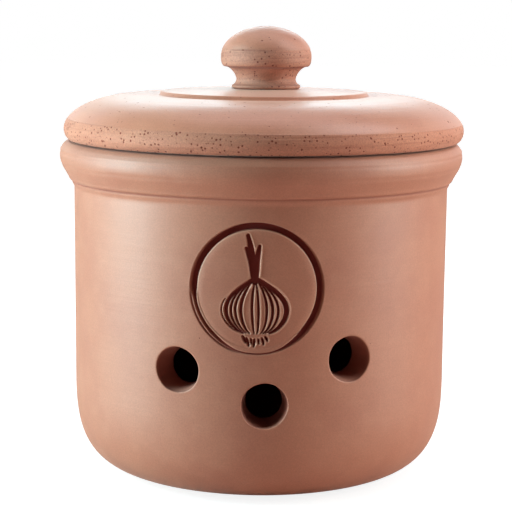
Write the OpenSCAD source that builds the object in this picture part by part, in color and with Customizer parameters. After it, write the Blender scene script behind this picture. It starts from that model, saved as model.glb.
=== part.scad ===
// Terracotta onion pot: a thrown pot with three vent holes and a round pressed stamp,
// a loose domed lid, and a knob turned on its own and set on the lid with slip.
// Millimetres. The origin is the centre of the pot's foot, +Z is up and -Y is the front.

/* [Pot] */
// Height of the rim above the table
rim_z = 169.5; // [150:0.5:190]
// Outside radius of the straight wall
wall_r = 96.7; // [88:0.1:110]
// Thickness of the wall
wall_t = 14; // [9:0.5:17]
// Thickness of the base
base_t = 14; // [9:0.5:20]
// How far the rounded bottom corner comes in at the foot
corner_in = 38; // [28:0.5:46]
// How high the rounded bottom corner reaches
corner_up = 50; // [36:0.5:52]
// How square the bottom corner is, where 2 is an ellipse
corner_power = 2.9; // [2:0.1:4]
// Radius of the rounded corner inside the pot
inner_corner_r = 24; // [14:1:34]

/* [Collar] */
// How far the collar stands out from the wall
collar_out = 7.3; // [5:0.1:10]
// Depth of the collar's widest circle below the rim
collar_drop = 6.9; // [5:0.1:9]
// How far the collar's upper round comes in to the rim
collar_in = 4.8; // [3:0.1:6]
// Radius of the round below the collar's widest circle
collar_low_r = 12.5; // [8:0.5:15]
// Slope of the collar's underside, from upright
collar_slope = 30; // [20:1:40]
// Depth of the fine turned line where the collar starts
line_depth = 0.6; // [0.3:0.1:1]
// Height of the fine turned line
line_w = 1.2; // [0.8:0.1:2]
// Height of the fine turned line above the start of the collar's slope
line_rise = 2.6; // [2:0.1:4]

/* [Vent holes] */
// Radius of a vent hole at the outside of the wall
vent_r = 10.4; // [9:0.1:12]
// Radius of a vent hole at the inside of the wall
vent_inner_r = 8.9; // [7:0.1:9]
// Width of the softened edge round a vent hole
vent_lip = 0.6; // [0.3:0.1:1.2]
// Turn of each vent hole from the front: left, middle, right
vent_turn = [-24.1, 1.7, 26.5];
// Height of each vent hole's centre: left, middle, right
vent_z = [67.4, 51.8, 72.7];

/* [Stamp] */
// Radius of the round stamp, outside its groove
stamp_r = 31.5; // [26:0.1:33]
// Width of the groove round the stamp
stamp_groove_w = 3.2; // [2:0.1:5]
// Depth of the groove round the stamp
stamp_groove_depth = 2.2; // [1:0.1:3]
// Turn of the stamp from the front
stamp_turn = -1; // [-4:0.5:4]
// Height of the stamp's centre
stamp_z = 107.9; // [106:0.1:110]
// Depth of the pressed onion figure
figure_depth = 1.2; // [0.6:0.1:2]
// Half the width of the onion figure's bulb
bulb_half_w = 16; // [12:0.5:17]
// Height of the onion figure's bulb
bulb_h = 27; // [23:0.5:27]
// Width of the bulb's outline at its widest
bulb_line_w = 3; // [2:0.1:4]
// Width of a skin line on the bulb at its widest
skin_line_w = 1.4; // [1:0.1:2]
// Number of skin lines on each side of the bulb
skin_lines = 3; // [1:1:3]
// Length of the onion figure's middle leaf, above its neck
leaf_h = 20; // [12:0.5:21]
// Width of a leaf
leaf_w = 2.6; // [2:0.1:2.8]
// Lean of each leaf to the right: left, middle, right
leaf_lean = [-16, -5, 9];
// Sideways step from one leaf's foot to the next
leaf_spacing = 2.4; // [2:0.1:3]
// How far the middle leaf runs down into the bulb
neck_h = 4; // [2:0.5:5]
// Height of the neck's foot above the middle of the stamp
neck_y = 5.6; // [3:0.1:6]
// Length of a root
root_h = 4.4; // [3:0.1:4.6]
// Width of a root
root_w = 1; // [0.8:0.1:1.4]

/* [Lid] */
// How much smaller than the collar the lid's widest radius is
lid_inset = 0.8; // [0:0.1:3]
// Height of the lid's widest circle above the rim
lid_edge_h = 6.5; // [5:0.1:8]
// How far the round under the lid's edge comes in
lid_low_in = 4.2; // [3:0.1:6]
// How far the lid's shoulder comes in
shoulder_in = 37; // [30:0.5:38]
// How far the lid's shoulder rises
shoulder_up = 17.4; // [14:0.1:20]
// How square the lid's shoulder is, where 2 is an ellipse
shoulder_power = 1.9; // [1.7:0.1:2.4]
// Radius of the raised disc on the lid
disc_r = 53.8; // [40:0.5:60]
// Height of the step round the raised disc
disc_step = 2.2; // [1:0.1:3]
// How much higher the raised disc is in the middle than at its edge
disc_rise = 1.4; // [0.5:0.1:3]
// Depth of the dish between the shoulder and the step
dish = 0.5; // [0.2:0.1:1]
// Gap between lid and collar at their outside edge
seam_gap = 0.7; // [0.4:0.1:1]
// Width of the seam's gap
seam_w = 3.4; // [2:0.1:5]
// Thickness of the lid over its hollow
lid_t = 12; // [8:0.5:14]
// Radius of the round at the top of the lid's hollow
hollow_r = 10; // [5:0.5:12]
// Gap between the lid's flange and the mouth of the pot, all round
flange_gap = 2; // [1.8:0.1:3]
// Thickness of the flange under the lid
flange_t = 9; // [6:0.5:12]
// Depth of the flange below the rim
flange_depth = 11; // [6:0.5:16]
// How far off centre the loose lid lies, to the right
lid_shift = 1.2; // [0:0.1:1.4]

/* [Knob] */
// Radius of the knob's foot
foot_r = 17.9; // [16:0.1:22]
// Height of the upright edge of the knob's foot
foot_h = 0.9; // [0.5:0.1:2]
// Radius of the knob's neck
neck_r = 15.4; // [10:0.1:15.8]
// Height of the hollow curve from the foot to the neck
neck_low_h = 3.6; // [2:0.1:6]
// Height of the hollow curve from the neck to the ball
neck_high_h = 6.5; // [4:0.1:9]
// How much wider than the neck the ball's underside starts
neck_out = 5.4; // [4:0.1:7]
// Largest radius of the knob's ball
ball_r = 23.6; // [23:0.1:28]
// Height of the ball below its widest circle
ball_low_h = 5.5; // [4:0.1:8]
// Height of the ball above its widest circle
ball_high_h = 15.4; // [10:0.1:20]
// How square the lower half of the ball is, where 2 is an ellipse
ball_low_power = 2.7; // [2:0.1:4]
// How square the upper half of the ball is, where 2 is an ellipse
ball_high_power = 1.95; // [1.7:0.05:2.4]
// How square the hollow curve under the ball is, where 2 is an ellipse
flare_power = 1.6; // [1.4:0.1:2.2]
// How far the knob sits off the lid's centre, to the right
knob_shift = 1; // [0:0.1:2]

/* [Hidden] */
$fn = 96;
steps = 20;
blade_steps = 12;
blade_end = 0.2;
clay = [0.80, 0.55, 0.43];

collar_r = wall_r + collar_out;
collar_z = rim_z - collar_drop;
slope_r = collar_r - collar_low_r * (1 - cos(collar_slope));
slope_z = collar_z - collar_low_r * sin(collar_slope);
collar_start_z = slope_z - (slope_r - wall_r) / tan(collar_slope);
mouth_r = wall_r - wall_t;

lid_r = collar_r - lid_inset;
edge_z = rim_z + lid_edge_h;
low_r = lid_r - lid_low_in;
shoulder_r = lid_r - shoulder_in;
shoulder_z = edge_z + shoulder_up;
disc_z = shoulder_z - dish + disc_step;
top_z = disc_z + disc_rise;
flange_r = mouth_r - flange_gap;
hollow_z = disc_z - lid_t;

neck_z = foot_h + neck_low_h;
under_z = neck_z + neck_high_h;
ball_z = under_z + ball_low_h;

// Points of a quarter of a superellipse with its centre at c and its reaches a, sideways,
// and b, upwards, either of which may be negative. It runs from the side to the top, or back.
function quarter(c, a, b, power, back = false) =
    [for (i = [0 : steps])
        let (t = 90 * (back ? steps - i : i) / steps)
        c + [a * pow(cos(t), 2 / power), b * pow(sin(t), 2 / power)]];

// Points of the round below the collar's widest circle, from the slope up
function collar_low() =
    [for (i = [0 : steps])
        let (t = collar_slope * (1 - i / steps))
        [collar_r - collar_low_r * (1 - cos(t)), collar_z - collar_low_r * sin(t)]];

// Half width of the onion's bulb at a share s of its height: full and round below, and
// drawn in hollow to the neck
function bulb_half(s) = bulb_half_w * pow(sin(180 * pow(s, 0.72)), 0.6 + 0.8 * s);

// A line of the bulb, from share a to share b of its height: its middle lies at a share k of
// the bulb's half width, and its width is w at the bulb's widest and narrows with the bulb
module meridian(k, w, a, b) {
    at = [for (i = [0 : steps]) a + (b - a) * (1 - cos(180 * i / steps)) / 2];
    half = w / bulb_half_w / 2;
    polygon(concat(
        [for (s = at) [(k - half) * bulb_half(s), bulb_h * s]],
        [for (i = [steps : -1 : 0]) [(k + half) * bulb_half(at[i]), bulb_h * at[i]]]));
}

// A leaf or root as a long blade of length h and width w, narrowed towards its foot and its
// tip, which leans by an angle from its foot
module blade(h, w, lean) {
    at = [for (i = [0 : blade_steps]) i / blade_steps];
    function half(s) = w / 2 * max(blade_end, sin(180 * pow(0.1 + 0.9 * s, 1.5)));
    rotate(-lean)
        polygon(concat(
            [for (s = at) [-half(s), h * s]],
            [for (i = [blade_steps : -1 : 0]) [half(at[i]), h * at[i]]]));
}

// The onion figure, drawn flat: skin lines, outline, three leaves and a tuft of roots.
// Its zero is the middle of the stamp.
module onion_figure() {
    outline_k = 1 - bulb_line_w / 2 / bulb_half_w;
    translate([0, neck_y - bulb_h]) {
        for (i = [-skin_lines : skin_lines])
            meridian(outline_k * i / (skin_lines + 1), skin_line_w, 0.04, 0.84);
        for (side = [-1, 1])
            meridian(side * outline_k, bulb_line_w, 0.004, 0.9);
        for (i = [-1 : 1])
            translate([i * leaf_spacing, bulb_h - neck_h * (1 - abs(i))])
                blade(leaf_h * (1 - abs(i) * 0.3) + neck_h * (1 - abs(i)), leaf_w, leaf_lean[i + 1]);
        for (i = [-2 : 2])
            translate([i * 2 * root_w, -root_w]) rotate(180) blade(root_h, root_w, -12 * i);
    }
}

// What a flat drawing cuts out of the front of the wall, to one depth all over
module pressed(depth) {
    difference() {
        rotate([90, 0, 0]) linear_extrude(wall_r + collar_out) children();
        cylinder(r = wall_r - depth, h = 3 * stamp_r, center = true, $fn = 180);
    }
}

module stamp() {
    rotate(stamp_turn) translate([0, 0, stamp_z]) {
        pressed(stamp_groove_depth) difference() {
            circle(stamp_r);
            circle(stamp_r - stamp_groove_w);
        }
        pressed(figure_depth) onion_figure();
    }
}

// A tapered hole along +Y from the pot's axis, with a softened edge at the outside
module vent() {
    widening = vent_r - vent_inner_r;
    rotate([90, 0, 0]) {
        translate([0, 0, mouth_r - wall_t])
            cylinder(r1 = vent_inner_r - widening, r2 = vent_r + widening, h = 3 * wall_t);
        translate([0, 0, wall_r - vent_lip])
            cylinder(r1 = vent_r, r2 = vent_r + 3 * vent_lip, h = 3 * vent_lip);
    }
}

module pot() {
    line_z = collar_start_z + line_rise;
    line_r = wall_r + line_rise * tan(collar_slope);
    outside = concat(
        [[0, 0]],
        quarter([wall_r - corner_in, corner_up], corner_in, -corner_up, corner_power, true),
        [[wall_r, collar_start_z]],
        collar_low(),
        quarter([collar_r - collar_in, collar_z], collar_in, collar_drop, 2));
    inside = concat(
        [[mouth_r, rim_z]],
        quarter([mouth_r - inner_corner_r, base_t + inner_corner_r],
                inner_corner_r, -inner_corner_r, 2),
        [[0, base_t]]);
    color(clay) difference() {
        rotate_extrude($fn = 180) polygon(concat(outside, inside));
        rotate_extrude($fn = 180) translate([line_r, line_z])
            polygon([[-line_depth, 0], [line_depth, line_w / 2 + line_depth],
                     [line_depth, -line_w / 2 - line_depth]]);
        for (i = [0 : len(vent_turn) - 1])
            rotate(vent_turn[i]) translate([0, 0, vent_z[i]]) vent();
        stamp();
    }
}

module lid() {
    top = concat(
        quarter([low_r, edge_z], lid_low_in, seam_gap - lid_edge_h, 2, true),
        quarter([shoulder_r, edge_z], shoulder_in, shoulder_up, shoulder_power),
        [[disc_r + dish, shoulder_z - dish], [disc_r, disc_z], [foot_r, top_z], [0, top_z]]);
    hollow = concat(
        [[0, hollow_z]],
        quarter([flange_r - flange_t - hollow_r, hollow_z - hollow_r],
                hollow_r, hollow_r, 2, true),
        [[flange_r - flange_t, rim_z - flange_depth], [flange_r, rim_z - flange_depth],
         [flange_r, rim_z], [low_r - seam_w, rim_z]]);
    color(clay) translate([lid_shift, 0, 0])
        rotate_extrude($fn = 180) polygon(concat(top, hollow));
}

module knob() {
    under_r = neck_r + neck_out;
    side = concat(
        [[0, 0], [foot_r, 0]],
        quarter([foot_r, neck_z], neck_r - foot_r, foot_h - neck_z, 2, true),
        quarter([under_r, neck_z], -neck_out, neck_high_h, flare_power),
        quarter([under_r, ball_z], ball_r - under_r, -ball_low_h, ball_low_power, true),
        quarter([0, ball_z], ball_r, ball_high_h, ball_high_power));
    color(clay) translate([lid_shift + knob_shift, 0, top_z])
        rotate_extrude($fn = 120) polygon(side);
}

pot();
lid();
knob();
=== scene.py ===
"""Looks of the terracotta onion pot: the thrown pot, its lid and the knob on the lid.

Shapes are worked out in millimetres and put into the meshes in metres. Each piece is a surface of
revolution about its own upright axis: a profile of (radius, height) carried round by a turn, which
is 0 at the front (-Y) and grows to the right (+X). Relief is a shift along the profile's normal.
"""

import functools
import math

import bpy
import numpy as np
from mathutils import Matrix, Vector

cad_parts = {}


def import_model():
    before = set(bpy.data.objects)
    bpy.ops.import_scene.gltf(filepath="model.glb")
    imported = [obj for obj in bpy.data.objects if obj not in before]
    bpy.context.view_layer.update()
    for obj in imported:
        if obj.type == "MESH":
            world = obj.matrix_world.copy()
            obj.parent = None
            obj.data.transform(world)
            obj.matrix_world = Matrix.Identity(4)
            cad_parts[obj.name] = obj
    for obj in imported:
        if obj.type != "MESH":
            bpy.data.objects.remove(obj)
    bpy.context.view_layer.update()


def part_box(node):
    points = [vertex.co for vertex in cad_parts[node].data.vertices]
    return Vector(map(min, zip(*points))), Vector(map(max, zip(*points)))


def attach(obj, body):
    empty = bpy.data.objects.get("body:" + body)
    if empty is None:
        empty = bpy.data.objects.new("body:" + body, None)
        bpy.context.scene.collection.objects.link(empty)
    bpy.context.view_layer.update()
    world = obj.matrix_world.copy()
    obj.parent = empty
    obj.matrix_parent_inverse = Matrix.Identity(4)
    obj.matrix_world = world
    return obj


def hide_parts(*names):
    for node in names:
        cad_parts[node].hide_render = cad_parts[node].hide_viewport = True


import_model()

MM = 0.001

# Fineness: step along a profile, points of an arc and of a skin line, steps round the pot that
# its columns are shared out over, and columns round the lid and the knob
PATH_STEP = 0.1
ARC_STEPS = 60
LINE_STEPS = 110
TURN_STEPS = 7200
LID_COLUMNS = 560
KNOB_COLUMNS = 320


def box_mm(name):
    """Lowest and highest corner of a CAD node, in millimetres."""
    return [np.array(corner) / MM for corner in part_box(name)]


# Sizes in millimetres, taken from the frame
pot_low, pot_high = box_mm("pot")
lid_low, lid_high = box_mm("lid")
knob_low, knob_high = box_mm("knob")
RIM_Z = pot_high[2]
COLLAR_R = (pot_high[0] - pot_low[0]) / 2
FLANGE_LOW_Z = lid_low[2]
LID_X = (lid_low[0] + lid_high[0]) / 2
LID_R = (lid_high[0] - lid_low[0]) / 2
LID_TOP_Z = lid_high[2]
KNOB_X = (knob_low[0] + knob_high[0]) / 2
BALL_R = (knob_high[0] - knob_low[0]) / 2
KNOB_TOP_Z = knob_high[2]

# Pot
COLLAR_OUT = 7.3
WALL_R = COLLAR_R - COLLAR_OUT
WALL_T = 14.0
MOUTH_R = WALL_R - WALL_T
BASE_T = 14.0
CORNER_IN, CORNER_UP, CORNER_POWER = 38.0, 50.0, 2.9
INNER_CORNER_R = 24.0
COLLAR_Z = RIM_Z - 6.9
COLLAR_IN = 4.8
COLLAR_LOW_R = 12.5
COLLAR_SLOPE = math.radians(30)
TURNED_LINE_Z = 149.4
SOFT_LINE_Z = 158.2
FINE_LINE_Z = 165.6
RIM_EDGE_R = 1.4
POT_SOFTNESS = 0.6
UNEVEN_WALL = 0.14
UNEVEN_INSIDE = 0.2
FINGER_H = 0.32
FINGER_STEP = 8.5
# Painted shade in the lowest turned line, on the pot's inside and in the seam under the lid
TURNED_LINE_SHADE = 0.55
INSIDE_SHADE = 0.15
SEAM_SHADE = 0.85

# Lines turned into the collar: height of each, how far it stands out of the clay, and width
COLLAR_LINES = [
    (TURNED_LINE_Z, -0.5, 0.55), (TURNED_LINE_Z + 1.4, 0.2, 0.7), (SOFT_LINE_Z, -0.12, 0.7),
    (FINE_LINE_Z, 0.26, 0.45), (FINE_LINE_Z - 1.1, -0.12, 0.5)]

# Vent holes: turn in degrees and height of each centre, left, middle and right. They taper
# inwards, and their walls get painted shade, with painted light on the sill
VENTS = [(-24.1, 67.1), (1.4, 51.5), (26.4, 72.5)]
VENT_R = 11.05
VENT_INNER_R = 8.9
VENT_LIP = 0.65
VENT_REACH = 13.3
HOLE_SHADE = 0.68
SILL_PAINTED_LIGHT = 0.35

# Stamp: a round groove, and an onion in strokes inside it
STAMP_TURN = -1.0
STAMP_Z = 107.4
STAMP_R = 31.6
STAMP_REACH = 33.0
STAMP_STEP = 0.3
GROOVE_W = 3.3
GROOVE_DEPTH = 2.6
SECOND_DEPTH = 0.7
ROCKED_AT = math.radians(-142)
STROKE_DEPTH = 1.2
PUSHED_UP_H = 0.3
OUTER_LIP_H = 0.08
BULB_HALF_W = 16.0
BULB_H = 27.4
NECK_Y = 6.0
FOOT_Y = NECK_Y - BULB_H
ROOT_BEND = 8

# Strokes of the bulb: share of its half width, width of the stroke, how far up it reaches as a
# share of the bulb's height, and where its sine of widths ends
SKIN_LINES = [
    (-1.01, 0.7, 0.62, 0.9), (-0.875, 1.9, 1, 0.93), (-0.73, 1.2, 0.98, 0.99),
    (-0.6, 1.2, 0.97, 0.99), (-0.435, 1.5, 0.96, 0.99), (-0.105, 1.3, 0.94, 0.99),
    (0.085, 1.2, 0.93, 0.99), (0.33, 1.3, 0.96, 0.99), (0.5, 1.4, 0.97, 0.99),
    (0.665, 1.2, 0.98, 0.99), (0.905, 2.6, 1, 0.92)]

# Leaves of the stem: where each starts, length, width, lean, and bend of its tip, in degrees
LEAVES = [
    (-0.9, NECK_Y - 2.5, 9.5, 3.6, 0, 0), (-1.3, NECK_Y, 19.8, 3.2, -2, -13),
    (-1.7, NECK_Y, 13.9, 3.0, -3, -22), (-0.3, NECK_Y, 14.6, 3.0, 0, 12)]

# Roots: place to the side, start below the bulb's foot, length, width and lean
ROOTS = [
    (-6.4, 0.8, 3.4, 1.5, 152), (-4.6, 1.7, 3.9, 1.4, 160), (-2.6, 1.9, 2.6, 1.1, 170),
    (-0.9, 2.2, 3.6, 1.4, 182), (0.9, 2.1, 2.3, 1.1, 170), (2.5, 1.6, 3.2, 1.3, 158),
    (4.2, 1.0, 2.2, 1.3, 148)]

# Lid
EDGE_Z = RIM_Z + 6.5
LOW_R = LID_R - 4.2
SHOULDER_R = LID_R - 37
SHOULDER_Z = EDGE_Z + 17.4
SHOULDER_POWER = 1.9
DISC_R = 53.8
DISC_H = 2.2
DISH = 0.5
DISC_Z = SHOULDER_Z - DISH + DISC_H
SEAM_GAP = 0.5
SEAM_W = 3.4
LID_T = 12
HOLLOW_Z = DISC_Z - LID_T
HOLLOW_R = 10.0
FLANGE_GAP = 2
FLANGE_R = MOUTH_R - FLANGE_GAP
FLANGE_T = 9.0
RIDGE_Z = 180.3
RIDGE_TILT = 0.8
RIDGE_H = 0.34
CREST_R = 58.8
CREST_H = 0.16
LID_SOFTNESS = 0.45
UNEVEN_LID = 0.12
UNEVEN_DISC = 0.08

# Lines cut into the lid's band: height, depth, and number and lag of the waves round the lid in
# which each comes and goes
BAND_LINES = [
    (178.6, 0.16, 3, 0.4), (177.0, 0.12, 5, 2.0), (175.4, 0.14, 2, 4.1), (173.9, 0.12, 4, 1.0),
    (172.4, 0.13, 3, 3.0)]

# Knob
FOOT_R = 17.9
FOOT_H = 1.9
NECK_R = 15.4
NECK_Z = LID_TOP_Z + 4.5
UNDER_Z = NECK_Z + 6.5
BALL_Z = UNDER_Z + 5.5
NECK_OUT = 5.4
GROOVED_LOW_Z = 208.0
GROOVED_Z = 216.6
CUT_BACK = 0.14
KNOB_SOFTNESS = 0.3
UNEVEN_KNOB = 0.12
# Painted shade under the ball's edge, at the joint on the lid and in the foot's upper corner
EDGE_SHADE = 0.5
CORNER_SHADE = 0.3

# Lines cut round the ball: height and depth
BALL_LINES = [
    (208.3, 0.06), (210.9, 0.08), (212.6, 0.16), (213.4, 0.06), (215.0, 0.12), (216.2, 0.22),
    (217.4, 0.05)]


def quarter(corner, reach_r, reach_z, power, back=False):
    """Quarter of a superellipse: corner plus the reaches times cos and sin of an angle, each to
    the power 2 / power. It runs from the side to the top, or back."""
    angle = np.linspace(0, math.pi / 2, ARC_STEPS)[:: -1 if back else 1]
    return np.stack([corner[0] + reach_r * np.cos(angle) ** (2 / power),
                     corner[1] + reach_z * np.sin(angle) ** (2 / power)], 1)


def even_path(parts):
    """The line through all points of the parts, with a point at every step of its length."""
    points = np.concatenate([np.atleast_2d(part) for part in parts])
    length = np.r_[0, np.cumsum(np.hypot(*np.diff(points, axis=0).T))]
    at = np.linspace(0, length[-1], int(length[-1] / PATH_STEP) + 1)
    return np.stack([np.interp(at, length, points[:, k]) for k in (0, 1)], 1)


def soften(path, width):
    """The path with each point replaced by a Gaussian mean of its neighbours, as wide as given,
    so that every edge is rounded. Past the axis the path goes on mirrored."""
    reach = int(4 * width / PATH_STEP)
    weights = np.exp(-((np.arange(-reach, reach + 1) * PATH_STEP / width) ** 2) / 2)
    weights /= weights.sum()
    r = np.pad(path[:, 0], reach, mode="reflect", reflect_type="odd")
    z = np.pad(path[:, 1], reach, mode="reflect")
    return np.stack([np.convolve(r, weights, "valid"), np.convolve(z, weights, "valid")], 1)


def thin_out(path, spacing):
    """Fewer points of a fine path: neighbours lie about spacing(r, z) apart, as the running sum
    of length over spacing says."""
    middle = (path[1:] + path[:-1]) / 2
    share = np.hypot(*np.diff(path, axis=0).T) / spacing(middle[:, 0], middle[:, 1])
    total = np.r_[0, np.cumsum(share)]
    at = np.linspace(0, total[-1], int(math.ceil(total[-1])) + 1)
    return np.stack([np.interp(at, total, path[:, k]) for k in (0, 1)], 1)


def path_normals(path):
    """Unit normals of a profile, (dz, -dr), which point out of the clay."""
    along = np.gradient(path, axis=0)
    along /= np.linalg.norm(along, axis=1, keepdims=True)
    return np.stack([along[:, 1], -along[:, 0]], 1)


def swell(x, middle, width):
    """A bell of height 1: exp(-((x - middle) / width) squared)."""
    return np.exp(-(((x - middle) / width) ** 2))


def ramp(x, low, high):
    """0 below low, 1 above high, and 3t^2 - 2t^3 between."""
    t = np.clip((x - low) / (high - low), 0, 1)
    return t * t * (3 - 2 * t)


def carry_round(path, normals, turns, shift):
    """Points of a profile at each turn: (r sin, -r cos, z), with each point moved along its
    normal by shift, an array of rows and turns."""
    r = path[:, :1] + normals[:, :1] * shift
    z = path[:, 1:] + normals[:, 1:] * shift
    return np.stack([r * np.sin(turns), -r * np.cos(turns), z], -1)


def hand_made(turns, z, amount):
    """Slow uneven hollows that a thrown wall keeps: three waves in turn and height, which only
    go inwards."""
    return amount * (0.5 * np.sin(2 * turns + z / 37 + 0.4) + 0.3 * np.sin(3 * turns - z / 52 + 2)
                     + 0.2 * np.sin(5 * turns + z / 21) - 1)


class Shell:
    """One closed surface, gathered as whole arrays of points and faces. Each point also has a
    depth, which the material paints as shade and highlight: 1 in a pressed or cut place, 0 on the
    plain wall, and below 0 on an edge that the tool pushed up, which is painted lighter as a
    highlight."""

    def __init__(self):
        self.points, self.depths, self.faces, self.count = [], [], [], 0

    def add(self, points, depth=0.0):
        """Adds points and gives back their numbers, in the shape of the grid they came in."""
        numbers = self.count + np.arange(points[..., 0].size).reshape(points.shape[:-1])
        self.points.append(points.reshape(-1, 3))
        self.depths.append(np.broadcast_to(depth, points.shape[:-1]).reshape(-1))
        self.count += numbers.size
        return numbers

    def skin(self, grid, keep=None):
        """Faces of a grid of numbers, whose last column meets its first one. Where keep is
        given, only the cells that it marks get a face."""
        grid = np.column_stack([grid, grid[:, :1]])
        quads = np.stack([grid[:-1, :-1], grid[:-1, 1:], grid[1:, 1:], grid[1:, :-1]], -1)
        self.faces.append(quads[keep] if keep is not None else quads.reshape(-1, 4))

    def halve(self, many, few, turned=False):
        """Three triangles for each two steps of a closed line that meets one with half as many,
        which comes after it, or before it if turned."""
        a, b, c = many[::2], many[1::2], np.roll(many, -2)[::2]
        d, e = few, np.roll(few, -1)
        for corners in ((a, b, d), (b, e, d), (b, c, e)):
            self.faces.append(np.stack(corners[::-1] if turned else corners, -1))

    def close(self, ring, middle, upwards):
        """A fan from a closed line of numbers to one point in its middle."""
        pole = np.full(len(ring), self.add(np.array([middle], float))[0])
        after = np.roll(ring, -1)
        self.faces.append(np.stack([ring, after, pole] if upwards else [ring, pole, after], -1))

    def mesh(self, name):
        """The mesh, in metres, smooth, with the depths as the attribute hollow. Points that no
        face uses are left out."""
        corners = np.concatenate([np.full(len(faces), faces.shape[1]) for faces in self.faces])
        starts = np.r_[0, np.cumsum(corners)[:-1]]
        numbers = np.concatenate([faces.ravel() for faces in self.faces])
        used, loops = np.unique(numbers, return_inverse=True)
        points = np.concatenate(self.points)[used] * MM
        mesh = bpy.data.meshes.new(name)
        mesh.vertices.add(len(points))
        mesh.loops.add(len(loops))
        mesh.polygons.add(len(corners))
        mesh.vertices.foreach_set("co", points.astype(np.float32).ravel())
        mesh.loops.foreach_set("vertex_index", loops.astype(np.int32))
        mesh.polygons.foreach_set("loop_start", starts.astype(np.int32))
        mesh.attributes.new("hollow", "FLOAT", "POINT")
        mesh.attributes["hollow"].data.foreach_set(
            "value", np.concatenate(self.depths)[used].astype(np.float32))
        mesh.validate()
        mesh.update(calc_edges=True)
        mesh.shade_smooth()
        return mesh


def piece(name, shell, material, body, nodes):
    """Puts a shell into the scene as a piece that rides on a body and stands for CAD nodes."""
    made = bpy.data.objects.new(name, shell.mesh(name))
    bpy.context.scene.collection.objects.link(made)
    made.data.materials.append(material)
    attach(made, body)
    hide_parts(*nodes)
    return made


# The stamp

def bulb_half(s):
    """Half width of the onion's bulb at a share s of its height, full below and drawn in to the
    neck: a sine of s^0.8, to a power that grows with s."""
    return BULB_HALF_W * np.sin(math.pi * s ** 0.8) ** (0.45 + 0.55 * s)


def skin_lines():
    """Strokes of the bulb as (points, half widths): each follows the bulb's half width times a
    share, and leans a little to the left. The outline is wide on the right, and doubled on the
    left by a thin one that ends lower. The width is a sine to a power, which thins out both
    ends."""
    for share, width, top, last in SKIN_LINES:
        s = (1 - np.cos(np.linspace(0.1, 0.95, LINE_STEPS) * math.pi)) / 2 * top
        narrowing = np.sin(np.linspace(0.06, last, LINE_STEPS) * math.pi) ** 0.6
        points = np.stack([share * bulb_half(s) - 0.2 - 0.5 * s, FOOT_Y + BULB_H * s], 1)
        yield points, width / 2 * narrowing


def blade(x, y, length, width, lean, bend, first=0.3, last=0.9, blunt=0.5):
    """A leaf or root as (points, half widths): from (x, y) it leans from straight up by an angle
    in degrees that bend changes towards its tip. Its width is a stretch of a sine, from first to
    last in half turns, to the power blunt."""
    t = np.linspace(0, 1, ARC_STEPS)
    angle = np.radians(lean + bend * t)
    aside, up = (np.cumsum(way) * length / ARC_STEPS for way in (np.sin(angle), np.cos(angle)))
    half = width / 2 * np.sin((first + (last - first) * t) * math.pi) ** blunt
    return np.stack([x + aside, y + up], 1), half


def onion_strokes():
    """The strokes of the onion figure as (points, half widths), in millimetres from the middle
    of the stamp: skin lines, a stout stem that parts into three leaves, and an uneven fringe of
    short roots."""
    yield from skin_lines()
    for leaf in LEAVES:
        yield blade(*leaf)
    for x, down, length, width, lean in ROOTS:
        yield blade(x, FOOT_Y - down, length, width, lean, ROOT_BEND, first=0.2, blunt=0.7)


def stroke_distance(x, z):
    """How far each point lies outside the nearest stroke, below 0 inside: the least distance to
    the stroke's points, less the half width there. A point well clear of all strokes is far."""
    reach, far = 3.0, 9.0
    nearest = np.full(x.shape, far)
    for points, half in onion_strokes():
        low, high = points.min(0) - reach, points.max(0) + reach
        near = (x > low[0]) & (x < high[0]) & (z > low[1]) & (z < high[1])
        gap = np.hypot(x[near][:, None] - points[:, 0], z[near][:, None] - points[:, 1]) - half
        nearest[near] = np.minimum(nearest[near], gap.min(1))
    return nearest


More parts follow.
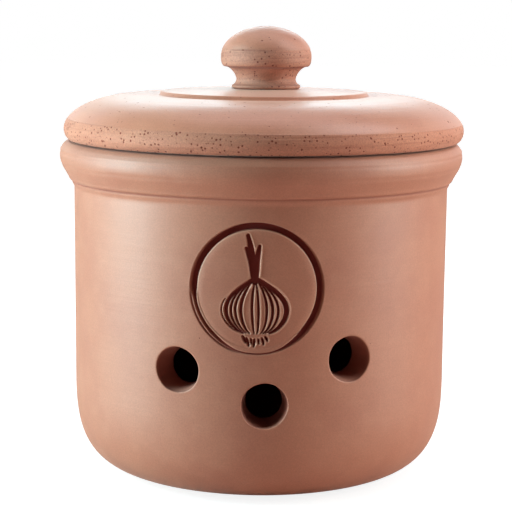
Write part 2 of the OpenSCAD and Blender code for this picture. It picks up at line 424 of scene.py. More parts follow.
def stamp_relief(x, z):
    """Shift and depth of the stamp at places (x, z) from its middle. The round groove is deep at
    the top, left and right and thins to a line at the bottom. At the lower left it splits in two,
    where the stamp rocked. The disc inside is pressed in a little, and rounded down towards the
    groove. The strokes are cut steeply, and pushed clay up along both sides, mostly the right.
    The depth is painted shade in the groove and the strokes, and painted highlight on the disc's
    edge, on the lips and on the edges pushed up."""
    out = np.hypot(x, z)
    rise = np.degrees(np.arctan2(z, np.abs(x)))
    bottom = np.where(x > 0, 1 - ramp(rise, -80, -34), 1 - ramp(rise, -78, -36))
    near_rocked = np.cos(np.arctan2(z, x) - ROCKED_AT)
    rocked = ramp(near_rocked, math.cos(math.radians(42)), math.cos(math.radians(24)))

    width = GROOVE_W * (1 - 0.74 * bottom) * (1 - 0.55 * rocked * (1 - bottom))
    middle = STAMP_R - width / 2 - 1.25 * rocked * (1 - bottom) - 0.4 * bottom
    inner, outer = middle - width / 2, middle + width / 2
    groove = 1 - ramp(np.abs(out - middle) - width / 2, -0.35, 0.15)
    deep = GROOVE_DEPTH * (1 - 0.6 * bottom) * (1 - 0.4 * rocked)
    second = rocked * (1 - ramp(np.abs(out - STAMP_R + 0.25), 0.2, 0.6))

    sunk = 0.15 + 0.35 * np.clip((out - inner + 3.5) / 3.5, 0, 1) ** 2
    disc = sunk * (1 - ramp(out, STAMP_R - GROOVE_W - 0.5, STAMP_R - GROOVE_W + 0.5))
    # A painted highlight along the disc's edge, which moves no clay
    disc_edge_highlight = swell(out, inner - 0.3, 0.35) * (1 - 0.7 * bottom)
    outer_lip = swell(out, np.maximum(outer, STAMP_R * (second > 0.2)) + 0.45, 0.4)
    outer_lip *= 0.3 + 0.7 * rocked

    gap = stroke_distance(x, z)
    stroke = 1 - ramp(gap, -0.3, 0.15)
    to_the_right = ramp(gap - stroke_distance(x - 0.4, z), -0.25, 0.3)
    pushed_up = swell(gap, 0.42, 0.3) * (0.3 + 0.7 * to_the_right)

    shift = (-deep * groove - SECOND_DEPTH * second - disc - STROKE_DEPTH * stroke
             + OUTER_LIP_H * outer_lip + PUSHED_UP_H * pushed_up)
    # Painted shade in the groove and the strokes
    pressed = np.maximum.reduce([groove, 0.85 * second, ramp(stroke, 0.2, 0.7)])
    # Painted highlight on the disc's edge, the lips and the edges pushed up
    highlighted_edges = np.maximum.reduce([0.8 * disc_edge_highlight, 0.35 * outer_lip, 0.9 * pushed_up])
    return shift, pressed - highlighted_edges * (1 - pressed)


# The pot

def pot_profile():
    """One fine path: from the foot's middle up the outside, over the rim, and down the inside to
    the floor's middle."""
    slope_r = COLLAR_R - COLLAR_LOW_R * (1 - math.cos(COLLAR_SLOPE))
    slope_z = COLLAR_Z - COLLAR_LOW_R * math.sin(COLLAR_SLOPE)
    start_z = slope_z - (slope_r - WALL_R) / math.tan(COLLAR_SLOPE)
    t = np.linspace(COLLAR_SLOPE, 0, 20)
    return soften(even_path([
        (0, 0), quarter((WALL_R - CORNER_IN, CORNER_UP), CORNER_IN, -CORNER_UP, CORNER_POWER, True),
        (WALL_R, start_z),
        np.stack([COLLAR_R - COLLAR_LOW_R * (1 - np.cos(t)), COLLAR_Z - COLLAR_LOW_R * np.sin(t)], 1),
        quarter((COLLAR_R - COLLAR_IN, COLLAR_Z), COLLAR_IN, RIM_Z - COLLAR_Z, 2),
        quarter((MOUTH_R + RIM_EDGE_R, RIM_Z - RIM_EDGE_R), -RIM_EDGE_R, RIM_EDGE_R, 2, True),
        quarter((MOUTH_R - INNER_CORNER_R, BASE_T + INNER_CORNER_R), INNER_CORNER_R, -INNER_CORNER_R, 2),
        (0, BASE_T)]), POT_SOFTNESS)


def outside_spacing(r, z):
    """Finest along the collar's lines, fine over the stamp and the vent holes, coarse below."""
    spacing = np.where(r < WALL_R - CORNER_IN - 2, 5.0, 2.2)
    spacing = np.where((z > 34) & (r > 80), 1.3, spacing)
    return np.where(z > STAMP_Z + STAMP_REACH, 0.6, spacing)


def round_spacing(turn):
    """Degrees between columns: fine across the stamp and the vent holes, coarse at the back."""
    return np.where(np.abs(turn) < 36, 0.8, 2.7)


def pot_turns():
    """Turns of the columns, in radians, all the way round."""
    degrees = np.linspace(-180, 180, TURN_STEPS + 1)
    total = np.r_[0, np.cumsum(np.diff(degrees) / round_spacing((degrees[1:] + degrees[:-1]) / 2))]
    columns = int(math.ceil(total[-1]))
    return np.radians(np.interp(np.arange(columns) / columns * total[-1], total, degrees))


def wall_shift(turns, z):
    """Shift of the plain wall, which the foot and the lowest part of the corner don't have."""
    return hand_made(turns, z, UNEVEN_WALL * ramp(z, 8, 40))


def outside_relief(turns, path):
    """Shift and depth over the pot's outside, apart from the stamp: the wall's slow hollows and
    the collar's turned lines, with painted shade in the lowest line and in the seam where the rim
    is under the lid."""
    z = path[:, 1:]
    shift = wall_shift(turns, z)
    for line_z, out, width in COLLAR_LINES:
        shift = shift + out * swell(z, line_z, width)
    seam_shade = SEAM_SHADE * (1 - ramp(path[:, :1], LOW_R - 0.2, LOW_R + 0.9)) * (z > COLLAR_Z)
    line_shade = TURNED_LINE_SHADE * swell(z, TURNED_LINE_Z, 0.45)
    return shift, np.maximum(line_shade, seam_shade) + 0 * turns


def inside_relief(turns, path):
    """Shift over the pot's inside: the finger rings of throwing, a sine of the height that winds
    as it climbs, and slow hollows. Both fade out below the rim."""
    z = path[:, 1:]
    rings = FINGER_H * np.sin(z * 2 * math.pi / FINGER_STEP + 0.8 * np.sin(turns))
    hollows = hand_made(turns, z, UNEVEN_INSIDE)
    return (rings * ramp(z, 24, 50) + hollows) * (1 - ramp(z, RIM_Z - 28, RIM_Z - 12))


def hole_rings(perimeter, inner_perimeter, turn, height):
    """Rings of points from a stepped opening in the wall's outside, over a rounded edge, through
    the tapered hole and out to the opening in the inside. Each ring has a point at the angle of
    each point round the outer opening; its distance from the pot's axis, along the hole, is the
    root of R^2 - u^2, with u across the hole. The hole's wall gets painted shade, and the sill
    outside, which faces up, gets painted light."""
    across = np.array([math.cos(turn), math.sin(turn), 0])
    ahead = np.array([math.sin(turn), -math.cos(turn), 0])
    u, v = perimeter @ across, perimeter[:, 2] - height
    angle = np.arctan2(v, u)
    uneven = 0.12 * np.sin(2 * angle + turn * 9) + 0.07 * np.sin(5 * angle + turn * 31)
    sill = ramp(-np.sin(angle), 0.4, 1)

    def on_wall(radius, wall_r, sunk):
        """Points at a radius from the hole's middle, sunk below the round wall."""
        x, z = radius * np.cos(angle), radius * np.sin(angle)
        out = np.sqrt(wall_r ** 2 - x ** 2) - sunk
        return out[:, None] * ahead + x[:, None] * across + (z + height)[:, None] * [0, 0, 1]

    rings, depths = [], []
    wall_here = np.hypot(perimeter[:, 0], perimeter[:, 1])
    lip_start = VENT_R + VENT_LIP + uneven
    for share in np.linspace(0, 1, 4)[1:]:
        radius = np.hypot(u, v) * (1 - share) + lip_start * share
        rings.append(on_wall(radius, wall_here, 0))
        depths.append(0)
    for t in np.linspace(0, math.pi / 2, 7)[1:]:
        radius = VENT_R + uneven + VENT_LIP * (1 - math.sin(t))
        rings.append(on_wall(radius, wall_here, VENT_LIP * (1 - math.cos(t))))
        depths.append(0.5 * math.sin(t) ** 8)
    for share in np.linspace(0, 1, 9)[1:]:
        radius = (VENT_R + uneven) * (1 - share) + VENT_INNER_R * share
        outer_out = on_wall(radius, wall_here, VENT_LIP)
        inner_out = on_wall(radius, MOUTH_R, -VENT_LIP)
        rings.append(outer_out * (1 - share) + inner_out * share)
        depths.append(HOLE_SHADE - SILL_PAINTED_LIGHT * (1 - share) * sill)
    for t in np.linspace(math.pi / 2, 0, 6)[1:]:
        radius = VENT_INNER_R + VENT_LIP * (1 - math.sin(t))
        rings.append(on_wall(radius, MOUTH_R, -VENT_LIP * (1 - math.cos(t))))
        depths.append(HOLE_SHADE)
    rings.append(rings[-1] * 0.5 + inner_perimeter * 0.5)
    depths.append(2 * INSIDE_SHADE)
    return rings, depths


def open_up(grid, keep, x, z, reach):
    """Takes the cells whose middles lie within reach of (0, 0) out of a grid, where x is the
    place of each column and z that of each row. Gives back the numbers of the points round the
    opening, which turn right, up, left and down."""
    cells = np.hypot((x[1:] + x[:-1]) / 2, (z[1:, None] + z[:-1, None]) / 2) < reach
    keep[:, :-1][cells] = False
    touching = sum(np.pad(cells.astype(int), ((i, 1 - i), (j, 1 - j))) for i in (0, 1) for j in (0, 1))
    edge = (touching > 0) & (touching < 4)
    order = np.argsort(np.arctan2(*np.broadcast_arrays(z[:, None], x))[edge])
    return grid[edge][order]


def across_wall(turns, turn):
    """How far each column lies to the side of a place on the front of the wall."""
    return WALL_R * np.sin(np.clip(turns - turn, -math.pi / 2, math.pi / 2))


def build_pot():
    """Outside and inside of the pot on one grid, with the vent holes and the stamp let in. The
    inside has a row at the height of each row of the outside where the vent holes are, so that
    both sides of a hole have as many points round them."""
    shell = Shell()
    turns = pot_turns()
    path = pot_profile()
    rim = np.argmax((path[:, 1] > COLLAR_Z) & (path[:, 0] < COLLAR_R - COLLAR_IN))
    outside, fine_in = thin_out(path[:rim], outside_spacing)[1:], path[rim:]
    heights = [height for _, height in VENTS]
    span = [min(heights) - VENT_REACH - 2, max(heights) + VENT_REACH + 2]
    low, high = np.searchsorted(outside[:, 1], span)
    vent_z = outside[low:high, 1]
    upper = fine_in[fine_in[:, 1] > vent_z[-1] + 0.7]
    lower = fine_in[fine_in[:, 1] < vent_z[0] - 0.7]
    upper = thin_out(upper, lambda r, z: np.where(z > RIM_Z - 3, 0.9, 3.2))
    lower = thin_out(lower, lambda r, z: np.where(r > MOUTH_R - INNER_CORNER_R - 4, 2.5, 6.0))
    middle = np.stack([np.interp(-vent_z, -fine_in[:, 1], fine_in[:, 0]), vent_z], 1)[::-1]
    inside = np.concatenate([upper[1:], middle, lower[:-1]])
    inner_low = len(outside) + len(upper) - 1
    inner_high = inner_low + len(middle)

    shift, depth = outside_relief(turns, outside)
    grid_out = shell.add(carry_round(outside, path_normals(outside), turns, shift), depth)
    shift = inside_relief(turns, inside)
    # The pot's inside gets a little painted shade
    grid_in = shell.add(carry_round(inside, path_normals(inside), turns, shift), INSIDE_SHADE)
    grid = np.concatenate([grid_out, grid_in])
    points = np.concatenate(shell.points)
    keep = np.ones((len(grid) - 1, len(turns)), bool)
    for degrees, height in VENTS:
        turn = math.radians(degrees)
        place = (across_wall(turns, turn), vent_z - height, VENT_REACH)
        edge = open_up(grid[low:high], keep[low:high - 1], *place)
        inner_rows, inner_keep = grid[inner_low:inner_high][::-1], keep[inner_low:inner_high - 1][::-1]
        inner_edge = open_up(inner_rows, inner_keep, *place)
        rings, depths = hole_rings(points[edge], points[inner_edge], turn, height)
        lines = [shell.add(ring, ring_depth) for ring, ring_depth in zip(rings, depths)]
        shell.skin(np.array([edge, *lines, inner_edge]))
    place = (across_wall(turns, math.radians(STAMP_TURN)), outside[:, 1] - STAMP_Z, STAMP_REACH + 1.5)
    edge = open_up(grid_out, keep[:len(outside) - 1], *place)
    add_stamp(shell, points, edge)
    shell.skin(grid, keep=keep)
    shell.close(grid[0], (0, 0, 0), False)
    shell.close(grid[-1], (0, 0, BASE_T), True)
    return shell


def add_stamp(shell, points, edge):
    """The stamp as rings round its middle, pressed straight into the front of the wall. The
    first rings ease from the stepped opening to a circle, and the rest have twice as many points
    until they get small, at angles that soon become even."""
    turn = math.radians(STAMP_TURN)
    x = points[edge] @ np.array([math.cos(turn), math.sin(turn), 0])
    z = points[edge][:, 2] - STAMP_Z
    out, angle = np.hypot(x, z), np.arctan2(z, x)
    count = len(edge)
    even = np.arange(2 * count) * math.pi / count
    once_round = np.r_[angle, angle[0] + 2 * math.pi]
    stepped = np.interp(np.arange(2 * count) / 2, np.arange(count + 1), once_round)
    even = even + (stepped - even).mean()

    def rings(radius, angle):
        """Adds points at radii and angles from the stamp's middle, pressed into the wall."""
        x, z = np.broadcast_arrays(radius * np.cos(angle), radius * np.sin(angle))
        turns = turn + np.arcsin(x / WALL_R)
        pressed, depth = stamp_relief(x, z)
        r = WALL_R + wall_shift(turns, z + STAMP_Z) + pressed
        return shell.add(np.stack([r * np.sin(turns), -r * np.cos(turns), z + STAMP_Z], -1), depth)

    share = np.array([[0.33], [0.67], [1]])
    easing = rings(out * (1 - share) + STAMP_REACH * share, angle)
    shell.skin(np.concatenate([edge[None], easing]))
    radius = np.arange(STAMP_REACH - STAMP_STEP, 10, -STAMP_STEP)[:, None]
    share = ramp(radius, STAMP_REACH, STAMP_REACH - 8)
    fine = rings(radius, stepped * (1 - share) + even * share)
    shell.halve(fine[0], easing[-1], turned=True)
    shell.skin(fine)
    small = rings(np.arange(9.7, 0.4, -STAMP_STEP * 1.3)[:, None], even[::2])
    shell.halve(fine[-1], small[0])
    shell.skin(small)
    r = WALL_R - 0.5
    shell.close(small[-1], (r * math.sin(turn), -r * math.cos(turn), STAMP_Z), True)


# The lid

def lid_profile():
    """One fine path, from the middle of the hollow under the lid, round the flange and the edge,
    and over the top to its middle."""
    path = even_path([
        (0, HOLLOW_Z),
        quarter((FLANGE_R - FLANGE_T - HOLLOW_R, HOLLOW_Z - HOLLOW_R), HOLLOW_R, HOLLOW_R, 2, True),
        (FLANGE_R - FLANGE_T, FLANGE_LOW_Z), (FLANGE_R, FLANGE_LOW_Z), (FLANGE_R, RIM_Z),
        (LOW_R - SEAM_W, RIM_Z),
        quarter((LOW_R, EDGE_Z), LID_R - LOW_R, RIM_Z + SEAM_GAP - EDGE_Z, 2, True),
        quarter((SHOULDER_R, EDGE_Z), LID_R - SHOULDER_R, SHOULDER_Z - EDGE_Z, SHOULDER_POWER),
        (CREST_R, SHOULDER_Z - 0.1), (DISC_R + 0.3, SHOULDER_Z - DISH), (DISC_R - 0.6, DISC_Z - 0.1),
        (DISC_R - 1.4, DISC_Z), (FOOT_R, LID_TOP_Z), (0, LID_TOP_Z)])
    return soften(path, LID_SOFTNESS)


def lid_relief(turns, path):
    """Shift over the lid's outside: a sharp ridge where the turned band below meets the smoothed
    shoulder, cut lines along the band that come and go, and a crest round the disc. The ridge
    sinks towards the right, by RIDGE_TILT times the sine of the turn, and fades at the sides."""
    r, z = path[:, :1], path[:, 1:]
    shift = hand_made(turns, z, UNEVEN_LID) * ramp(z, RIM_Z + 0.6, RIM_Z + 2)
    crisp = ramp(np.abs(np.cos(turns - 0.12)), 0.1, 0.9)
    off_ridge = np.abs(z - RIDGE_Z + RIDGE_TILT * np.sin(turns))
    shift = shift + RIDGE_H * crisp * np.exp(-off_ridge / 1.5)
    shift = shift + CREST_H * np.exp(-np.abs(r - CREST_R) / 0.7)
    for line_z, deep, waves, lag in BAND_LINES:
        cut = swell(z, line_z, 0.3) * np.clip(0.4 + np.sin(waves * turns + lag), 0, 1)
        shift = shift - deep * cut
    return shift


def shoulder_spacing(r, z):
    """Finest over the lid's edge and band and round its disc, coarser on the shoulder."""
    return np.where(z < RIDGE_Z + 1.5, 0.42, np.where(r > DISC_R + 8, 1.15, 0.4))


def build_lid():
    """The lid in three stretches: half as many columns under it and on its disc as on its edge
    and shoulder."""
    shell = Shell()
    many = np.linspace(-math.pi, math.pi, LID_COLUMNS, endpoint=False)
    few = many[::2]
    path = lid_profile()
    edge = np.argmax(path[:, 0] > LOW_R - SEAM_W - 2)
    top = len(path) - np.argmax(path[::-1, 0] > DISC_R - 5)
    under = thin_out(path[:edge], lambda r, z: np.where(r > FLANGE_R - FLANGE_T - 4, 1.2, 3.5))[1:-1]
    outer = thin_out(path[edge:top], shoulder_spacing)
    disc = thin_out(path[top:], lambda r, z: np.where(r > FOOT_R - 1, 1.6, 4.0))[1:-1]

    def rows(path, turns, shift, depth=0.0):
        """Adds a stretch of the profile, carried round the lid's own axis."""
        points = carry_round(path, path_normals(path), turns, shift)
        return shell.add(points + [LID_X, 0, 0], depth)

    thrown_rings = 0.15 * np.sin(under[:, :1]) * (under[:, 1:] > RIM_Z)
    # Painted shade in the seam, where the lid's edge sits on the rim
    seam_shade = SEAM_SHADE * (1 - ramp(outer[:, 1:], RIM_Z + SEAM_GAP, RIM_Z + SEAM_GAP + 0.35))
    under_rows = rows(under, few, thrown_rings + 0 * few)
    outer_rows = rows(outer, many, lid_relief(many, outer), seam_shade)
    disc_rows = rows(disc, few, hand_made(few, disc[:, :1], UNEVEN_DISC))
    for grid in (under_rows, outer_rows, disc_rows):
        shell.skin(grid)
    shell.halve(outer_rows[0], under_rows[-1], turned=True)
    shell.halve(outer_rows[-1], disc_rows[0])
    shell.close(under_rows[0], (LID_X, 0, HOLLOW_Z), False)
    shell.close(disc_rows[-1], (LID_X, 0, LID_TOP_Z), True)
    return shell


# The knob

def knob_profile():
    """One path from the middle of the foot's face, set a little into the slip on the lid, up the
    foot, the hollow neck and the flattened ball to its top."""
    under_r = NECK_R + NECK_OUT
    foot_top_z = LID_TOP_Z + FOOT_H
    path = soften(even_path([
        (0, LID_TOP_Z - 0.1), (FOOT_R - 0.5, LID_TOP_Z - 0.1), (FOOT_R - 0.4, LID_TOP_Z + 0.15),
        quarter((FOOT_R - 0.5, foot_top_z - 0.5), 0.5, 0.5, 2),
        quarter((FOOT_R, NECK_Z + 0.6), NECK_R - FOOT_R, foot_top_z - NECK_Z - 0.6, 2, True)[8:],
        quarter((under_r, NECK_Z), -NECK_OUT, UNDER_Z - NECK_Z, 1.6),
        quarter((under_r, BALL_Z), BALL_R - under_r, UNDER_Z - BALL_Z, 2.7, True),
        quarter((0, BALL_Z), BALL_R, KNOB_TOP_Z - BALL_Z, 1.95)]), KNOB_SOFTNESS)
    return thin_out(path, lambda r, z: np.where(r < 8, 1.2, np.where(z < LID_TOP_Z + 0.3, 2.0, 0.4)))


def knob_relief(turns, z):
    """Shift and depth over the knob: the round of the ball is cut back a little up to an edge at
    GROOVED_Z, with lines along it that come and go. The cut lines, the ball's under edge, the
    foot's upper corner and the joint on the lid get painted shade."""
    shift = hand_made(turns * 2, z, UNEVEN_KNOB) * (z > LID_TOP_Z + 1)
    below = ramp(z, GROOVED_Z + 0.3, GROOVED_Z - 0.3)
    shift = shift - CUT_BACK * below * ramp(z, GROOVED_LOW_Z - 1, GROOVED_LOW_Z + 1)
    under_edge_shade = ramp(z, UNDER_Z + 0.8, UNDER_Z + 0.4) * ramp(z, UNDER_Z - 1.1, UNDER_Z - 0.2)
    joint_shade = ramp(z, LID_TOP_Z + 0.5, LID_TOP_Z + 0.2)
    corner = swell(z, LID_TOP_Z + FOOT_H + 0.3, 0.35)
    shade = np.maximum.reduce([EDGE_SHADE * under_edge_shade, EDGE_SHADE * joint_shade, CORNER_SHADE * corner])
    for line_z, deep in BALL_LINES:
        line = swell(z, line_z + 0.25 * np.sin(turns * 2 + line_z), 0.24)
        broken = 0.2 + np.sin(3 * turns + 2.6 * line_z) + 0.5 * np.sin(17 * turns + line_z)
        line = line * np.clip(broken, 0, 1)
        shift = shift - deep * line
        shade = np.maximum(shade, 2 * deep * line)
    return shift, shade + 0 * turns


def build_knob():
    """The knob: its profile carried round, closed at both ends."""
    path = knob_profile()
    sides, normals = path[1:-1], path_normals(path)[1:-1]
    turns = np.linspace(-math.pi, math.pi, KNOB_COLUMNS, endpoint=False)
    shift, shade = knob_relief(turns, sides[:, 1:])
    shell = Shell()
    grid = shell.add(carry_round(sides, normals, turns, shift) + [KNOB_X, 0, 0], shade)
    shell.skin(grid)
    shell.close(grid[0], (KNOB_X, 0, path[0, 1]), False)
    shell.close(grid[-1], (KNOB_X, 0, path[-1, 1]), True)
    return shell


# Materials

def linear(hex_colour):
    """A colour written as #RRGGBB in sRGB, as linear red, green, blue and 1."""
    shares = np.array([int(hex_colour[i:i + 2], 16) for i in (1, 3, 5)]) / 255
    return (*np.where(shares <= 0.04045, shares / 12.92, ((shares + 0.055) / 1.055) ** 2.4), 1.0)


def node(tree, kind, inputs=None, out=None, **settings):
    """Adds a shader node. A setting goes to the node itself. An input is a value, or a socket to
    link. Gives back the output that is named, or the first one in use."""
    made = tree.nodes.new("ShaderNode" + kind)
    for name, value in settings.items():
        setattr(made, name, value)
    for name, value in (inputs or {}).items():
        if isinstance(value, bpy.types.NodeSocket):
            tree.links.new(value, made.inputs[name])
        else:
            made.inputs[name].default_value = value
    if out:
        return made.outputs[out]
    return next((output for output in made.outputs if output.enabled), None)


def empty_material(name):
    """A material without nodes, and its node tree."""
    material = bpy.data.materials.new(name)
    material.use_nodes = True
    material.node_tree.nodes.clear()
    return material, material.node_tree


class Shades:
    """Adds the kinds of shader node that repeat, in one tree."""

    def __init__(self, tree):
        self.add = functools.partial(node, tree)

    def times(self, a, b, plus=0.0):
        """a times b, with something added."""
        return self.add("Math", {0: a, 1: b, 2: plus}, operation="MULTIPLY_ADD")

    def larger(self, a, b):
        """The larger of a and b."""
        return self.add("Math", {0: a, 1: b}, operation="MAXIMUM")

    def slope(self, x, low, high, start=0.0, end=1.0):
        """start below low, end above high, and straight between."""
        return self.add("MapRange", {0: x, 1: low, 2: high, 3: start, 4: end})

    def ease(self, x, low, high, start=0.0, end=1.0):
        """start below low, end above high, and smooth between."""
        return self.add("MapRange", {0: x, 1: low, 2: high, 3: start, 4: end},
                        interpolation_type="SMOOTHSTEP")

    def noise(self, at, size, detail, roughness=0.5):
        """Noise with its largest grains about as wide as size, in millimetres."""
        return self.add("TexNoise", {"Vector": at, "Scale": 1 / (size * MM), "Detail": detail,
                                     "Roughness": roughness})

    def tint(self, colour, share, hue):
        """The colour with a share of a hue, written as #RRGGBB, in it."""
        return self.add("Mix", {0: share, 6: colour, 7: linear(hue)}, data_type="RGBA")


# Fired clay: its plain tone and clouds of two more, then the painted highlight on edges, the
# painted shade in pressed and cut places, the dark of pits and specks, partly painted shade, cut
# lines and the dust on a cut band
CLAY = "#C07F66"
CLAY_LIGHT = "#C98C74"
CLAY_DEEP = "#B97760"
HIGHLIGHT_TONE = "#D8A68D"
PRESSED_SHADE = "#74221A"
PIT_SHADE = "#6E2012"
CUT = "#8E4632"
DUST = "#D09C88"
BLOOM = "#FFE8DC"

# The noises in the clay, as sizes in millimetres
CLOUD_SIZE = 36
PATCH_SIZE = 9
WAVE_SIZE = 5.0
STREAK_SIZE = 1.3
GROG_SIZE = 0.7
DRAWN_OUT = 0.03

# The least chance, from 0 to 1, with which a cell holds a speck on plain clay, a speck on clay
# with a cut band, or a pit, and how much the band adds to the chance
SPECK_LEAST = 0.25
BAND_SPECK_LEAST = 0.52
PIT_LEAST = 0.5
BAND_MORE = 0.45


def along_turning(shades, at):
    """Places for a noise that is drawn out round the axis, where the way round counts little."""
    add = shades.add
    flat = add("VectorMath", {0: at, 1: (1, 1, 0)}, operation="MULTIPLY")
    from_axis = add("VectorMath", {0: flat}, out="Value", operation="LENGTH")
    along = add("Math", {0: from_axis, 1: add("SeparateXYZ", {0: at}, out="Z")}, operation="SUBTRACT")
    little = add("VectorMath", {0: flat, 1: (DRAWN_OUT, DRAWN_OUT, 0)}, operation="MULTIPLY")
    return add("VectorMath", {0: little, 1: add("CombineXYZ", {2: along})}, operation="ADD")


def cut_band(shades, at, low, high):
    """1 between a lowest and a highest z, and 0 elsewhere. The upper end tilts as the lid's ridge
    does."""
    z = shades.add("SeparateXYZ", {0: at}, out="Z")
    tilted = shades.add("VectorMath", {0: at, 1: (RIDGE_TILT / LID_R, 0, 1)}, out="Value",
                        operation="DOT_PRODUCT")
    above = shades.ease(z, (low - 0.6) * MM, low * MM)
    return shades.times(above, shades.ease(tilted, high * MM, (high + 0.3) * MM, 1.0, 0.0))


def holes(shades, at, uneven, gap, size, least, more=0.0):
    """1 in a hole and 0 around it. Cells as wide as gap hold up to one hole each, which a chance
    over the least makes, and a higher one makes larger, up to size."""
    cells = shades.add("TexVoronoi", {"Vector": at, "Scale": 1 / (gap * MM)})
    chance = shades.add("SeparateColor", {0: cells.node.outputs["Color"]})
    chance = shades.times(more, BAND_MORE, chance)
    share = size / gap
    radius = shades.slope(chance, least, 1.2, -0.1 * share, share)
    radius = shades.times(uneven, share, radius)
    inside = shades.add("Math", {0: radius, 1: cells}, operation="SUBTRACT")
    return shades.ease(inside, 0.0, share * 0.4)


def terracotta(name, rough, grain, specks, pits, band=None):
    """Terracotta, a red earthenware that is fired without glaze. It was thrown, turned and then
    smoothed with a damp rib, and the eye sees slow clouds of paler and deeper clay, faint streaks
    along the turning, fine grog, open pits, and a chalky sheen towards the sides. Specks and pits
    are (gap, size) in millimetres, and ragged, as the grog round them is. Where a band is given,
    as its lowest and highest z, the clay was left as the tool cut it: duller, grainier and a
    little dusty, with scratches and most of the specks. The attribute hollow, the depth that the
    shapes give, paints shade, dark and red, into pressed and cut places, the seam, the vent holes
    and the pot's inside, and paints highlight onto the edges pushed up. Pits are dark, partly as
    painted shade."""
    material, tree = empty_material(name)
    shades = Shades(tree)
    add, times, larger, ease, tint = shades.add, shades.times, shades.larger, shades.ease, shades.tint
    at = add("TexCoord", out="Object")
    turned = along_turning(shades, at)
    streaks = shades.noise(turned, STREAK_SIZE, 3.0, 0.6)
    waves = shades.noise(turned, WAVE_SIZE, 2.0)
    clouds = shades.noise(at, CLOUD_SIZE, 3.0, 0.55)
    patches = shades.noise(at, PATCH_SIZE, 3.0, 0.6)
    grog = shades.noise(at, GROG_SIZE, 2.0, 0.6)
    uneven = add("Math", {0: grog, 1: 0.5}, operation="SUBTRACT")
    coarse = cut_band(shades, at, *band) if band else 0.0
    pitted = larger(
        holes(shades, at, uneven, *specks, BAND_SPECK_LEAST if band else SPECK_LEAST, coarse),
        holes(shades, at, uneven, *pits, PIT_LEAST))
    # The depth paints shade where it is above 0 and highlight where it is below 0
    depth = add("Attribute", out="Fac", attribute_name="hollow", attribute_type="GEOMETRY")
    hollow = larger(depth, 0.0)
    highlight = add("Math", {0: depth, 1: -0.75}, operation="MULTIPLY", use_clamp=True)

    colour = tint(linear(CLAY_DEEP), ease(clouds, 0.3, 0.62), CLAY)
    colour = tint(colour, ease(patches, 0.42, 0.75, end=0.25), CLAY_LIGHT)
    colour = tint(colour, ease(streaks, 0.35, 0.7, end=0.22), CLAY_DEEP)
    colour = tint(colour, times(coarse, ease(streaks, 0.45, 0.72, end=0.34)), CUT)
    colour = tint(colour, times(coarse, 0.1), DUST)
    grainy = times(uneven, times(coarse, 0.4, 0.4), 1.0)
    colour = add("Mix", {0: 1.0, 6: colour, 7: add("CombineColor", {0: grainy, 1: grainy, 2: grainy})},
                 data_type="RGBA", blend_type="MULTIPLY")
    # Painted highlight on edges, painted shade in pressed and cut places, and dark pits, partly painted
    # shade
    for share, hue in ((highlight, HIGHLIGHT_TONE), (hollow, PRESSED_SHADE), (times(pitted, 0.88), PIT_SHADE)):
        colour = tint(colour, share, hue)

    dull = larger(larger(pitted, hollow), times(coarse, 0.6))
    roughness = times(dull, 0.4, shades.slope(patches, 0.3, 0.7, rough - 0.02, rough + 0.03))

    height = times(streaks, times(coarse, 0.2, 0.05))
    height = times(waves, 0.10, height)
    height = times(grog, times(coarse, 0.06, grain), height)
    height = times(pitted, -0.15, height)
    bump = add("Bump", {"Height": height, "Distance": MM, "Strength": 1.0})
    shader = add("BsdfPrincipled", {
        "Base Color": colour, "Roughness": roughness, "IOR": 1.6, "Normal": bump, "Sheen Weight": 0.2,
        "Sheen Roughness": 0.4, "Sheen Tint": linear(BLOOM)})
    add("OutputMaterial", {"Surface": shader})
    return material


# Studio

# The floor, in metres. Its glow rises from FLOOR_WHITE to 1 over the distances NEAR_POT
FLOOR_SIZE = 12
FLOOR_DROP = 0.0002
FLOOR_WHITE = 0.84
NEAR_POT = (0.12, 0.45)
SHADOWED_PAPER = "#A0A0A0"
WARM_PAPER = "#D2A89B"

# Strengths of what surrounds the pot. The sweep behind it fades in over BEHIND and out over
# SWEEP_TOP, which are ranges of y and z in the unit vector that a ray takes
BRIGHT_SWEEP = 1.35
DARK_STUDIO = 0.03
FILL = 0.01
BEHIND = (-0.1, 0.35)
SWEEP_TOP = (0.5, 0.65)


def floor():
    """A wide sweep of paper under the pot. The camera sees it white but for the pot's soft
    shadow, and what it throws back onto the pot is the light of a warm, pale paper."""
    bpy.ops.mesh.primitive_plane_add(size=FLOOR_SIZE, location=(0, 0, -FLOOR_DROP))
    made = bpy.context.object
    made.name = "floor"
    material, tree = empty_material("floor_paper")
    shades = Shades(tree)
    add = shades.add
    away = add("VectorMath", {0: add("TexCoord", out="Object")}, out="Value", operation="LENGTH")
    white = shades.ease(away, *NEAR_POT, FLOOR_WHITE)
    paper = add("BsdfDiffuse", {"Color": linear(WARM_PAPER)})
    seen = add("AddShader", {0: add("BsdfDiffuse", {"Color": linear(SHADOWED_PAPER)}),
                             1: add("Emission", {"Color": (1, 1, 1, 1), "Strength": white})})
    shown = add("MixShader", {0: add("LightPath", out="Is Camera Ray"), 1: paper, 2: seen})
    add("OutputMaterial", {"Surface": shown})
    made.data.materials.append(material)
    return made


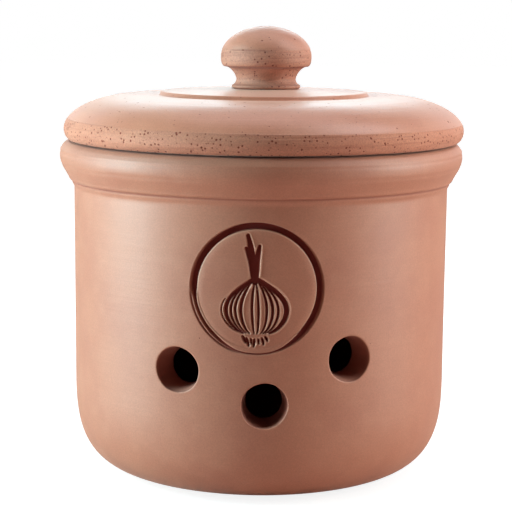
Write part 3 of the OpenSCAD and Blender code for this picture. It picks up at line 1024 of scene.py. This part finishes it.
def world():
    """White to the camera. A glossy ray sees the white sweep behind the pot up to about 30
    degrees, and a dark studio elsewhere. The rest is a weak even fill."""
    made = bpy.data.worlds.new("studio")
    bpy.context.scene.world = made
    made.use_nodes = True
    made.node_tree.nodes.clear()
    shades = Shades(made.node_tree)
    add = shades.add
    way = add("SeparateXYZ", {0: add("TexCoord", out="Generated")}, out="Y")
    low = shades.ease(way.node.outputs["Z"], *SWEEP_TOP, 1.0, 0.0)
    sweep = shades.times(shades.ease(way, *BEHIND), low)
    reflected = shades.slope(sweep, 0.0, 1.0, DARK_STUDIO, BRIGHT_SWEEP)
    camera_ray = add("LightPath", out="Is Camera Ray")
    rays = camera_ray.node.outputs
    glossy = shades.larger(rays["Is Glossy Ray"], rays["Is Transmission Ray"])
    strength = add("Mix", {0: glossy, 2: FILL, 3: reflected}, data_type="FLOAT")
    strength = add("Mix", {0: camera_ray, 2: strength, 3: 1.0}, data_type="FLOAT")
    add("OutputWorld", {"Surface": add("Background", {"Color": (1, 1, 1, 1), "Strength": strength})})


# Softboxes, in metres: where they point, how far from there they are, and the side ones' size
# and colours
AIM = Vector((0, 0, 0.11))
LAMP_AWAY = 1.0
TALL_BOX = (0.28, 1.2)
LEFT_LIGHT = "#D0FAFF"
RIGHT_LIGHT = "#EEFFFB"


def receivers(name, *pieces):
    """A collection of the pieces that a softbox lights. The lid has side lamps of its own, which
    it doesn't mirror: seen from one side, its flat top would mirror the other side's lamp and
    burn out to white."""
    made = bpy.data.collections.new(name)
    for one in pieces:
        made.objects.link(one)
    return made


def softbox(name, turn, rise, size, watts, colour="#FFFFFF", only=None, gloss=True):
    """A softbox that faces the pot from a turn and a rise, in degrees. Its size is (width,
    height). It is hidden from the camera, so that no other view shows it, and without gloss no
    surface mirrors it either."""
    lamp = bpy.data.lights.new(name, "AREA")
    lamp.shape = "RECTANGLE"
    lamp.size, lamp.size_y = size
    lamp.energy = watts
    lamp.color = linear(colour)[:3]
    made = bpy.data.objects.new(name, lamp)
    bpy.context.scene.collection.objects.link(made)
    t, e = math.radians(turn), math.radians(rise)
    way = Vector((math.sin(t) * math.cos(e), -math.cos(t) * math.cos(e), math.sin(e)))
    made.location = AIM + way * LAMP_AWAY
    made.rotation_euler = way.to_track_quat("Z", "Y").to_euler()
    made.visible_camera = False
    made.visible_glossy = gloss
    if only:
        made.light_linking.receiver_collection = only


# Camera: lens and sensor in millimetres, place in metres, angles in degrees
LENS = 115.12
SENSOR = 36.0
CAMERA_AT = (-0.00218, -0.850, 0.237992)
LOOKS_DOWN = 8.652
LEANS = 0.503


def camera():
    """The photograph's camera, which looks down a little and leans by half a degree."""
    lens = bpy.data.cameras.new("camera")
    lens.sensor_width, lens.lens = SENSOR, LENS
    made = bpy.data.objects.new("camera", lens)
    bpy.context.scene.collection.objects.link(made)
    down = Matrix.Rotation(math.radians(90 - LOOKS_DOWN), 4, "X")
    look = down @ Matrix.Rotation(math.radians(LEANS), 4, "Z")
    made.matrix_world = Matrix.Translation(CAMERA_AT) @ look
    bpy.context.scene.camera = made


camera()
wall_clay = terracotta("terracotta_smoothed_wall", 0.52, grain=0.02, specks=(9.0, 0.5), pits=(14.0, 0.9))
lid_clay = terracotta("terracotta_turned_lid", 0.38, grain=0.02, specks=(1.7, 0.62), pits=(4.0, 1.3),
                      band=(RIM_Z, RIDGE_Z))
knob_clay = terracotta("terracotta_turned_knob", 0.47, grain=0.03, specks=(1.8, 0.6), pits=(4.2, 1.1),
                       band=(LID_TOP_Z, GROOVED_Z))
pot = piece("thrown_pot", build_pot(), wall_clay, "pot", ["pot"])
lid = piece("thrown_lid", build_lid(), lid_clay, "lid", ["lid"])
knob = piece("turned_knob", build_knob(), knob_clay, "lid", ["knob"])

beside = receivers("lit_with_gloss", pot, knob, floor())
above = receivers("lit_without_gloss", lid)
world()
softbox("softbox_left", -80, 8, TALL_BOX, 22.8, LEFT_LIGHT, beside)
softbox("softbox_right", 80, 8, TALL_BOX, 13.5, RIGHT_LIGHT, beside)
softbox("softbox_left_lid", -80, 8, TALL_BOX, 29, LEFT_LIGHT, above, gloss=False)
softbox("softbox_right_lid", 80, 8, TALL_BOX, 16.4, RIGHT_LIGHT, above, gloss=False)
softbox("softbox_left_low", -75, -3, (0.3, 0.2), 4.0, "#E8FFFF")
softbox("softbox_high_right", 90, 60, (0.5, 0.5), 3.5)
softbox("softbox_back", 180, 28, (0.5, 0.22), 1.75, "#D0F4FF")
softbox("softbox_top", 180, 70, (0.6, 0.5), 1.95, "#FFE5E5")

bpy.context.scene.view_settings.view_transform = "Standard"
